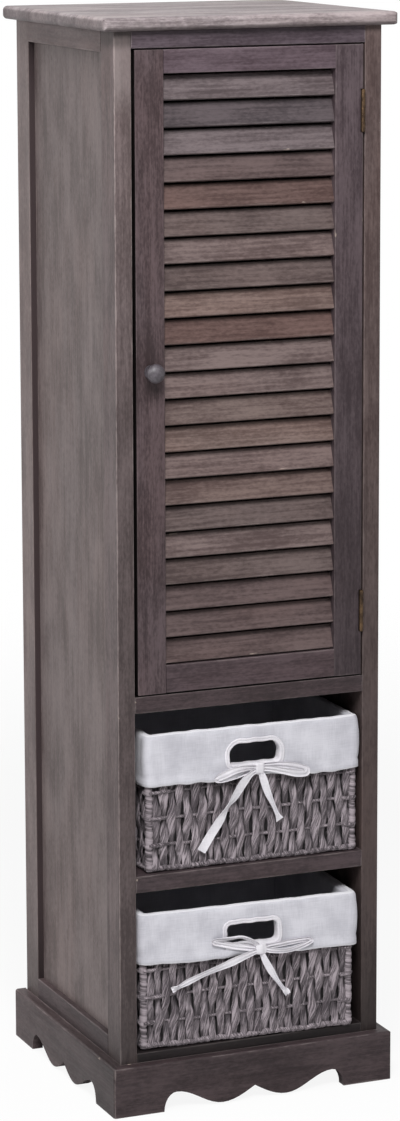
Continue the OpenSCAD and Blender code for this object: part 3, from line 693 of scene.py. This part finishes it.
def weave_floor(bundle, basket, draw):
    """A plain woven floor: strands from front to back over stakes from side to side."""
    middle_z, margin, half = 3.2 * MM, 8 * MM, basket.width / 2
    count = round((basket.width - 2 * margin) / STRAND_STEP)
    pitch = (basket.width - 2 * margin) / count
    run = np.linspace(WALL_MIDDLE, basket.depth - WALL_MIDDLE, 60)
    for k in range(count):
        x = margin + (k + 0.5) * pitch - half
        swing = np.cos(math.pi * run / STAKE_STEP + math.pi * (k % 2))
        path = columns(x, run, middle_z + 1.1 * MM * swing)
        bundle.tube(*round_tube(path, (1, 0, 0), (0, 0, 0.32), 5.0 * MM, sides=8, seed=draw.random()))
    for y in np.arange(STAKE_STEP / 2, basket.depth - 4 * MM, STAKE_STEP):
        path = [(x, y, middle_z) for x in (WALL_MIDDLE - half, 0.0, half - WALL_MIDDLE)]
        bundle.tube(*round_tube(path, (0, 1, 0), UP, 1.2 * MM, sides=8, seed=draw.random()))


def make_basket(basket, seed):
    draw = random.Random(seed)
    weave, edging, floor = Bundle(), Bundle(), Bundle()
    for side in SIDES:
        weave_wall(weave, basket, side, draw)
        back_wall(weave, basket, side)
    edge_basket(edging, basket, draw)
    weave_floor(floor, basket, draw)
    for part, bundle in (("weave", weave), ("edging", edging), ("floor", floor)):
        piece = bundle.piece(f"{basket.node}_{part}", ROPE, basket, "paper_rope")
        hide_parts(basket.node)


# ---- Liners ----


def cotton(name, shade, light, edge=None):
    """Plain woven cotton with slubs both ways and soft uneven tone; an edge colour paints a highlight along its folded
    edges.
    """
    material, tree = new_material(name)
    place = tree.place()
    level = tree.noise(place, (70, 70, 1300), 3.0, 0.6)
    upright = tree.noise(place, (1300, 1300, 70), 3.0, 0.6)
    broad = tree.noise(place, (30, 30, 30), 3.0, 0.5)
    weave = tree.math("ADD", level, upright)
    tone = tree.vary(broad, weave, 0.45, middle=1.0)
    colour = tree.mix(tree.step(tone, 0.2, 0.8), shade, light)
    if edge:
        # the fold attribute is the mask of the painted highlight
        fold = tree.attribute("fold")[0]
        colour = tree.mix(tree.step(fold, 0.2, 0.9), colour, edge)
    tree.surface(colour, 0.92, weave, bump=0.25, depth=0.25 * MM, Sheen_Weight=0.15)
    return material


# the last colour is a painted highlight along the cuff's folded rim and hem
COTTON = cotton("cotton", srgb(182, 181, 189), srgb(211, 210, 217), srgb(230, 229, 234))
TAPE = cotton("cotton_tape", srgb(204, 201, 207), srgb(233, 230, 235))
LINER_T = 1.5 * MM  # the cloth and the air under it
FABRIC_T = 0.8 * MM
CUFF_H = 57.0 * MM
HEM_H = 9.5 * MM
LINER_CELL = 3.4 * MM
WALL_T = 7.0 * MM
FLOOR_T = 6.0 * MM
BASKET_R = 9.0 * MM
HEM_RISE = 5.0 * MM  # where the ribbon pulls the hem up
HEM_RISE_W = 34.0 * MM
HEM_END_RISE = 3.5 * MM  # and how far it lies higher at the left end
CUFF_R = 6.0 * MM  # radius of the cuff's corners
CUFF_FLARE = {"upper": 0.0, "lower": 3.0 * MM}  # how far a cuff stands off at its right end


def rounded_ring(width, depth, radius, count):
    """Points and outward directions evenly spaced round a basket's outline, from the middle of its front."""
    inner = np.array((width / 2 - radius, depth / 2 - radius))
    arc = math.pi / 2 * radius
    legs = [inner[0], arc, 2 * inner[1], arc, 2 * inner[0], arc, 2 * inner[1], arc, inner[0]]
    centres = np.array([(0, -1), (1, -1), (1, 1), (-1, 1), (-1, -1)]) * inner + (0, depth / 2)
    points, outs = [], []
    for i in range(count):
        left, leg = sum(legs) * i / count, 0
        while leg < len(legs) - 1 and left > legs[leg]:
            left -= legs[leg]
            leg += 1
        side, bent = divmod(leg, 2)
        turn = math.pi / 2 * (side - 1) + bent * left / radius
        out = np.array((math.cos(turn), math.sin(turn)))
        points.append(centres[side + bent] + radius * out + (1 - bent) * left * np.array((-out[1], out[0])))
        outs.append(out)
    return np.array(points), np.array(outs)


def ripple(share, draw, waves, size):
    """A smooth random wave that closes round the ring; share runs from 0 to 1 round it."""
    total = np.zeros_like(share)
    for k in waves:
        total = total + draw.uniform(0.4, 1.0) * np.sin(2 * math.pi * k * share + draw.uniform(0, 6.28))
    return size * total / math.sqrt(len(waves))


def liner_profile(height):
    """The liner's section: how far out, how high and how loose, from the hem over the rim to the floor."""
    hem, rim = height - CUFF_H, height + LINER_T / 2
    outside, inside, lip, bend = LINER_T * 0.75, -WALL_T - LINER_T * 0.9, 3 * MM, 5 * MM
    reach = WALL_T / 2 + outside
    rows = []
    for up in np.linspace(hem, height - lip, round(CUFF_H / LINER_CELL)):
        rows.append((outside, up, (height - up) / CUFF_H))
    for a in np.linspace(0, math.pi, 9):
        rows.append((reach * math.cos(a) - WALL_T / 2, rim - lip + lip * math.sin(a), 0.0))
    for up in np.linspace(rim - 6 * MM, FLOOR_T + 6 * MM, 34):
        rows.append((inside, up, -0.5))
    for a in np.linspace(0.25, 1, 4):
        turn = a * math.pi / 2
        rows.append((inside - bend * (1 - math.cos(turn)), FLOOR_T + 6 * MM - bend * math.sin(turn), 0.0))
    return rows


def in_hole(x, up, radius, spare):
    """Whether a point, measured from the foot of the hand hole's middle, is within a spare distance of it."""
    dx = abs(x)
    if dx > HOLE_W / 2 + spare or up < -spare or up > HOLE_H + spare:
        return False
    corner_x, corner_z = HOLE_W / 2 - radius, HOLE_H - radius
    if dx > corner_x and up > corner_z:
        return math.hypot(dx - corner_x, up - corner_z) < radius + spare
    return True


def make_liner(basket, knot_x, seed):
    height = basket.height
    draw = random.Random(seed)
    count = round(2 * (basket.width + basket.depth) / LINER_CELL)
    ring, outs = rounded_ring(basket.width, basket.depth, BASKET_R, count)
    cuff_ring, cuff_outs = rounded_ring(basket.width, basket.depth, CUFF_R, count)
    share = np.arange(count) / count
    bulge = ripple(share, draw, (7, 11, 17, 23), 0.8 * MM)
    sag = ripple(share, draw, (3, 5, 9, 14), 0.7 * MM)
    inner = ripple(share, draw, (5, 8, 13), 0.8 * MM)
    flutter = ripple(share, draw, (21, 31, 44), 0.6 * MM)
    corner = np.abs(outs[:, 0] * outs[:, 1]) * 2  # 1 at the middle of a corner, 0 along the walls
    free = np.clip((0.62 - ring[:, 1] / basket.depth) / 0.25, 0, 1)  # at the back the cuff lies close to the wall
    rise = HEM_RISE * np.exp(-((ring[:, 0] - knot_x) / HEM_RISE_W) ** 2) * (outs[:, 1] < -0.9)
    grid, fold_highlights = [], []
    for out, up, loose in liner_profile(height):
        # near marks the folded hem and rim for the cotton's painted highlight
        near = max(math.exp(-((up - height + CUFF_H) / (1.2 * MM)) ** 2), 0.8 * (abs(out + WALL_T / 4) < 2.2 * MM))
        fold_highlights.append(near if out > -WALL_T else 0.0)
        if loose > 0:
            hem_roll = 0.5 * MM if up < height - CUFF_H + HEM_H else 0.0
            seam = 0.5 * MM * math.exp(-((up - height + CUFF_H - HEM_H) / (1.6 * MM)) ** 2)
            swell = 2.2 * MM * corner * math.sin(math.pi * min(1.0, 1.15 * loose)) + 0.9 * MM * loose
            offset = out - seam * free + (np.abs(bulge) * (0.4 + 1.1 * loose) + hem_roll + swell) * free
            lift = sag * (0.5 + 0.8 * loose) + flutter * loose ** 2 + rise * max(0.0, loose - 0.45) / 0.55
            lift = lift + HEM_END_RISE * loose * np.clip(-2 * ring[:, 0] / basket.width, 0, 1)
        elif loose < 0:
            offset, lift = out + np.minimum(inner, 0.3 * MM), sag * 0.3
        else:
            offset, lift = out, (sag * 0.5 + flutter * 0.5) * (up > height / 2)
        offset = np.broadcast_to(offset, (count,))[:, None]
        share_out = min(max(1 + out / WALL_T, 0.0), 1.0)
        plan = (cuff_ring + cuff_outs * offset) * share_out + (ring + outs * offset) * (1 - share_out)
        flare = np.clip(ring[:, 0] * 4 / basket.width - 1, 0, 1) ** 2
        plan[:, 0] += CUFF_FLARE[basket.name] * share_out * free * flare
        grid.append(np.column_stack([plan, up + lift]))
    floor_ring, middle = grid[-1], np.array([0.0, basket.depth / 2])
    for shrink in np.linspace(0.88, 0.1, 9):
        flat = middle + (floor_ring[:, :2] - middle) * shrink
        grid.append(np.column_stack([flat, np.full(count, FLOOR_T + 1.0 * MM)]))
    grid = np.array(grid)
    faces = []
    for r in range(len(grid) - 1):
        for c in range(count):
            d = (c + 1) % count
            x, y, z = grid[[r, r, r + 1, r + 1], [c, d, d, c]].mean(axis=0)
            if y < 12 * MM and in_hole(x - basket.hole_x, z - basket.hole_z, basket.hole_r, 1.8 * MM):
                continue
            faces.append([r * count + c, r * count + d, (r + 1) * count + d, (r + 1) * count + c])
    faces.append([(len(grid) - 1) * count + c for c in range(count)])
    name = basket.name + "_liner"
    fold_highlights = np.array(fold_highlights + [0.0] * (len(grid) - len(fold_highlights)))
    marks = columns(fold_highlights[:, None], 0.0, np.zeros(count))
    piece = mesh_piece(name + "_cloth", grid.reshape(-1, 3), faces, COTTON, basket, {"fold": marks})
    shell = piece.modifiers.new("cloth_thickness", "SOLIDIFY")
    shell.thickness = FABRIC_T
    shell.offset = 0.0
    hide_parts(name)
    binding = hole_binding(basket, draw)


def hole_outline(top_r, step=2.5 * MM):
    """Points of the hand hole's outline, from the foot of its middle, with their outward directions."""
    half, foot_r, quarter = HOLE_W / 2, 4 * MM, math.pi / 2
    corners = [(half - foot_r, foot_r, foot_r), (half - top_r, HOLE_H - top_r, top_r),
               (top_r - half, HOLE_H - top_r, top_r), (foot_r - half, foot_r, foot_r)]
    path = []
    for k, out in enumerate(((0, -1), (1, 0), (0, 1), (-1, 0))):
        (last_x, last_z, last_r), (x, z, radius) = corners[k - 1], corners[k]
        start = np.array((last_x + last_r * out[0], last_z + last_r * out[1]))
        leg = np.array((x + radius * out[0], z + radius * out[1])) - start
        pieces = max(1, round(math.hypot(*leg) / step))
        path += [(*(start + leg * i / pieces), *out) for i in range(pieces)]
        pieces = max(3, round(quarter * radius / step))
        for i in range(pieces):
            turn = quarter * (k - 1 + i / pieces)
            across, up = math.cos(turn), math.sin(turn)
            path.append((x + radius * across, z + radius * up, across, up))
    return np.array(path)


BINDING_W = 5.2 * MM
# The binding's section: out from the hole's edge in widths of the binding, and out from the basket's wall in mm
BINDING_SECTION = (
    (1.0, 1.8), (1.0, 3.1), (0.8, 3.4), (0.62, 3.3), (0.52, 2.85), (0.42, 3.4), (0.15, 3.5), (0.0, 2.6),
    (-0.05, 0.0), (-0.05, -7.0), (0.0, -8.8), (0.2, -9.9), (1.0, -9.6), (1.0, -8.4), (0.17, -8.0), (0.17, 1.8),
)


def hole_binding(basket, draw):
    """A folded strip that binds the hand hole: a lip on the cuff, the sides of the hole and a lip inside."""
    outline = hole_outline(basket.hole_r)
    spread, out = np.array(BINDING_SECTION).T
    wave = 0.3 * MM * np.sin(np.arange(len(outline)) * 0.9 + draw.uniform(0, 6))[:, None]
    x = basket.hole_x + outline[:, :1] + outline[:, 2:3] * (spread * BINDING_W + wave)
    z = basket.hole_z + outline[:, 1:2] + outline[:, 3:4] * (spread * BINDING_W + wave)
    rings = columns(x, -out * MM, z)
    bundle = Bundle()
    bundle.tube(rings, rings, closed=True)
    piece = bundle.piece(basket.name + "_liner_binding", TAPE, basket, "cotton")
    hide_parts(basket.name + "_liner")
    return piece


# ---- Ribbon bows ----

RIBBON_W = 10.0 * MM
RIBBON_T = 0.6 * MM
RIBBON_ACROSS = np.linspace(-1, 1, 9)
KNOT_SIZE = (11.5 * MM, 6.0 * MM, 12.0 * MM)


def smooth_path(points, count):
    """A smooth curve through given points, with any extra columns carried along."""
    points = np.asarray(points, float)
    ends = np.vstack([2 * points[0] - points[1], points, 2 * points[-1] - points[-2]])
    result = []
    for t in np.linspace(0, len(points) - 1 - 1e-9, count):
        i = int(t)
        f = t - i
        a, b, c, d = ends[i:i + 4]
        result.append(0.5 * (2 * b + (c - a) * f + (2 * a - 5 * b + 4 * c - d) * f * f
                             + (3 * b - a - 3 * c + d) * f ** 3))
    return np.array(result)


def ribbon_rings(points, start):
    """A flat ribbon along points of (right, out, up, width share, tilt in degrees), all lengths in mm."""
    track = smooth_path(points, 12 * (len(points) - 1))
    right, out, up = (track[:, i] * MM for i in range(3))
    path = np.array(start) + columns(right, -out, up)
    ahead = unit(np.gradient(path, axis=0))
    across = unit(np.cross(ahead, np.array([0.0, -1.0, 0.0])))
    for i in range(1, len(across)):  # where the ribbon turns back, its width keeps its direction
        if np.dot(across[i], across[i - 1]) < 0:
            across[i] = -across[i]
    flat = unit(np.cross(across, ahead))
    tilt = np.radians(track[:, 4])[:, None]
    wide = across * np.cos(tilt) + flat * np.sin(tilt)
    thick = flat * np.cos(tilt) - across * np.sin(tilt)
    half = (RIBBON_W / 2 * track[:, 3])[:, None]
    gather = (1 - track[:, 3])[:, None]  # a ribbon that is drawn together lies in pleats
    pleat = 2.0 * MM * gather * np.cos(1.7 * math.pi * RIBBON_ACROSS + 0.5) + 0.25 * MM * RIBBON_ACROSS ** 2
    front = pleat + RIBBON_T / 2
    back = (pleat - RIBBON_T / 2)[:, ::-1]
    reach = np.concatenate([half * RIBBON_ACROSS, (half * RIBBON_ACROSS)[:, ::-1]], axis=1)
    depth = np.concatenate([front, back], axis=1)
    return path[:, None, :] + reach[..., None] * wide[:, None, :] + depth[..., None] * thick[:, None, :]


def knot_rings(start, draw):
    """The knot: a short band pulled tight, with creases that run to its middle."""
    wide, deep, tall = KNOT_SIZE
    lat = np.linspace(-0.96, 0.96, 15)[:, None] * math.pi / 2
    lon = np.linspace(0, 2 * math.pi, 28, endpoint=False)[None, :]
    crease = 1 + 0.09 * np.sin(5 * lon + draw.uniform(0, 6)) + 0.06 * np.sin(9 * lon + 3 * lat)
    belt = np.cos(lat) ** 0.35 * crease
    x = wide / 2 * belt * np.cos(lon)
    y = -deep / 2 + deep / 2 * belt * np.sign(np.sin(lon)) * np.abs(np.sin(lon)) ** 0.6
    z = tall / 2 * np.sign(np.sin(lat)) * np.abs(np.sin(lat)) ** 0.7
    return np.array(start) + columns(x, y, z)


# Knots: how far right of the front's middle and above the basket's foot, in mm. Ribbons: points from the knot's middle
# as right, out, up, width share and tilt
BOWS = {
    "upper": {
        "knot": (5.5, 103.5),
        "ribbons": {
            "left_loop": [(0, 3, 0, 0.5, 0), (-13, 5.5, 2.5, 0.7, 20), (-27, 5, 1, 0.8, 10), (-40, 3.6, -3.5, 0.8, 0),
                          (-48.5, 2.4, -7, 0.7, 0), (-44, 1.6, -8.5, 0.7, 0), (-29, 1.2, -6.5, 0.7, 0),
                          (-14, 1.4, -3, 0.6, 0), (0, 2, 0, 0.5, 0)],
            "right_loop": [(0, 3, 0, 0.5, 0), (14, 5, -1.5, 0.65, -20), (28, 5.4, -5.5, 0.7, -15),
                           (42, 4.6, -9.5, 0.75, 0), (53, 3.2, -10.5, 0.75, 0), (55, 2.4, -8, 0.7, 0),
                           (52, 1.6, -5.5, 0.7, 0), (39, 1.4, -1.5, 0.75, 0), (24, 1.6, 1.2, 0.65, 0),
                           (5, 2, 2.5, 0.5, 0)],
            "left_tail": [(-1, 3.5, -1, 0.5, 0), (-10.5, 4.4, -5, 0.75, 15), (-19.5, 4.2, -14.5, 0.95, 5),
                          (-28.5, 3, -28.5, 0.9, 15), (-36.5, 2.4, -38.5, 0.75, 40), (-45, 2, -52.5, 0.95, 5),
                          (-55.5, 1.6, -67.5, 1.0, 0), (-66.5, 1.4, -84.5, 1.0, -5)],
            "right_tail": [(0, 3.5, -2, 0.5, 0), (4, 4.2, -12, 0.8, -20), (9, 3.2, -26.5, 0.75, -15),
                           (15.5, 2, -41, 0.55, 10), (20.5, 1.8, -52.5, 0.55, 10), (24, 1.6, -59.5, 0.95, 5)],
        },
    },
    "lower": {
        "knot": (13.0, 99.5),
        "ribbons": {
            "left_loop": [(0, 3, 1, 0.5, 0), (-10, 5.5, 10, 0.55, 35), (-22.5, 6, 16, 0.55, 50),
                          (-36, 4.5, 15.5, 0.55, 40), (-50, 2.8, 14.5, 0.6, 20), (-53, 2.0, 12.5, 0.6, 0),
                          (-45, 1.6, 10, 0.65, 0), (-27, 1.5, 5, 0.7, 0), (-13, 1.8, 2, 0.65, 0), (0, 2, 0, 0.5, 0)],
            "right_loop": [(0, 3, 0, 0.5, 0), (14, 4.8, -3, 0.55, -25), (29, 5, -4.2, 0.6, -30), (44, 4, -2, 0.55, -15),
                           (55, 2.8, 1, 0.5, 0), (58, 2.0, 2.6, 0.5, 0), (54, 1.5, 4.4, 0.5, 0),
                           (37, 1.4, 3.6, 0.6, 0), (18, 1.6, 2, 0.6, 0), (3, 2, 1, 0.5, 0)],
            "left_tail": [(-2, 3.5, -1, 0.5, 0), (-16.5, 4.5, -5, 0.75, 10), (-33, 4, -11, 0.85, 5),
                          (-48.5, 3, -16, 0.75, 15), (-64.5, 2.2, -21, 0.7, 20), (-84, 1.6, -28.5, 0.7, 5),
                          (-92.5, 1.6, -32, 0.5, 15), (-96, 2.2, -33, 0.9, 40), (-101, 1.5, -35, 0.6, -15)],
            "right_tail": [(0, 3.5, -3, 0.5, 0), (4.5, 4.2, -13, 0.7, -20), (11, 3.4, -25, 0.75, -5),
                           (19, 2.4, -38, 0.55, 20), (26, 1.9, -47.5, 0.5, 10), (28.5, 2.2, -50.5, 0.9, 40),
                           (32, 1.6, -54.5, 0.6, -20)],
        },
    },
}


def make_bow(basket, seed):
    bow = BOWS[basket.name]
    right, up = (v * MM for v in bow["knot"])
    start = (right, -LINER_T - 0.9 * MM, up)
    draw = random.Random(seed)
    bundle, length = Bundle(), 0.0
    for points in bow["ribbons"].values():
        rings = ribbon_rings(points, start)
        length += float(np.linalg.norm(np.diff(rings.mean(axis=1), axis=0), axis=1).sum())
        bundle.tube(rings, rings)
    rings = knot_rings(start, draw)
    bundle.tube(rings, rings)
    piece = bundle.piece(basket.name + "_bow_ribbon", TAPE, basket, "ribbon")
    crisp = piece.modifiers.new("crisp_edges", "EDGE_SPLIT")
    crisp.split_angle = math.radians(50)
    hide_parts(basket.name + "_bow")


# ---- Floor and light ----

FLOOR_SIZE = 8.0
FLOOR_WHITE = 0.9  # how far the camera sees it as white, which leaves a faint shadow round the foot
FLOOR_FADE = (0.9, 2.6)  # from this distance to that one the floor gives way to the white world


def make_floor():
    mesh = bpy.data.meshes.new("floor")
    half = FLOOR_SIZE / 2
    mesh.from_pydata([(-half, -half, 0), (half, -half, 0), (half, half, 0), (-half, half, 0)], [], [(0, 1, 2, 3)])
    floor = add_object("floor", mesh)
    material, tree = new_material("pale_floor")
    place = tree.place()
    tone = tree.noise(place, (1.5, 1.5, 1.5), 2.0)
    colour = tree.mix(tone, srgb(247, 247, 247), srgb(252, 252, 252))
    solid = tree.add("BsdfPrincipled", {"Base Color": colour, "Roughness": 0.9, "Specular IOR Level": 0.2})
    white = tree.add("Emission", {"Color": WHITE, "Strength": 1.0})
    seen = tree.times(tree.add("LightPath", out="Is Camera Ray"), FLOOR_WHITE)
    near = tree.add("MixShader", {0: seen, 1: solid, 2: white})
    far = tree.step(tree.vector("LENGTH", place, out=1), *FLOOR_FADE)
    clear = tree.add("BsdfTransparent")
    mixed = tree.add("MixShader", {0: far, 1: near, 2: clear})
    tree.add("OutputMaterial", {"Surface": mixed})
    mesh.materials.append(material)


WORLD_LEVEL = 0.11
LAMPS = {  # place, power in watts and size
    "key_lamp": (Vector((-0.9, -2.1, 2.85)), 104.0, 1.0),
    "fill_lamp": (Vector((-2.8, -0.3, 1.6)), 33.0, 1.5),
}
LAMP_AIM = Vector((0, 0, 0.7))


def make_lamp(name, place, power, size):
    data = bpy.data.lights.new(name, "AREA")
    data.energy = power
    data.size = size
    lamp = add_object(name, data)
    lamp.location = place
    lamp.rotation_euler = (LAMP_AIM - place).to_track_quat("-Z", "Y").to_euler()


def make_light():
    """A pale room: a dim world that shows white, a broad key from above the camera and a fill from the left."""
    world = bpy.data.worlds.new("studio")
    bpy.context.scene.world = world
    world.use_nodes = True
    world.node_tree.nodes.clear()
    tree = Tree(world.node_tree)
    path = tree.add("LightPath").node
    shown = tree.math("MAXIMUM", path.outputs["Is Camera Ray"], path.outputs["Is Glossy Ray"])
    shown = tree.math("MAXIMUM", shown, path.outputs["Is Transmission Ray"])
    level = tree.math("MULTIPLY_ADD", shown, 1.0 - WORLD_LEVEL, WORLD_LEVEL)
    sky = tree.add("Background", {"Color": WHITE, "Strength": level})
    tree.add("OutputWorld", {"Surface": sky})
    for name, settings in LAMPS.items():
        make_lamp(name, *settings)


# ---- The scene ----

make_camera()
stain_and_shade_boards()
finish_hardware()
for name, seed in BASKET_SEEDS.items():
    basket = Basket(name)
    make_basket(basket, seed)
    make_liner(basket, BOWS[name]["knot"][0] * MM, seed + 20)
    make_bow(basket, seed + 40)
make_floor()
make_light()
bpy.context.scene.view_settings.view_transform = "Standard"
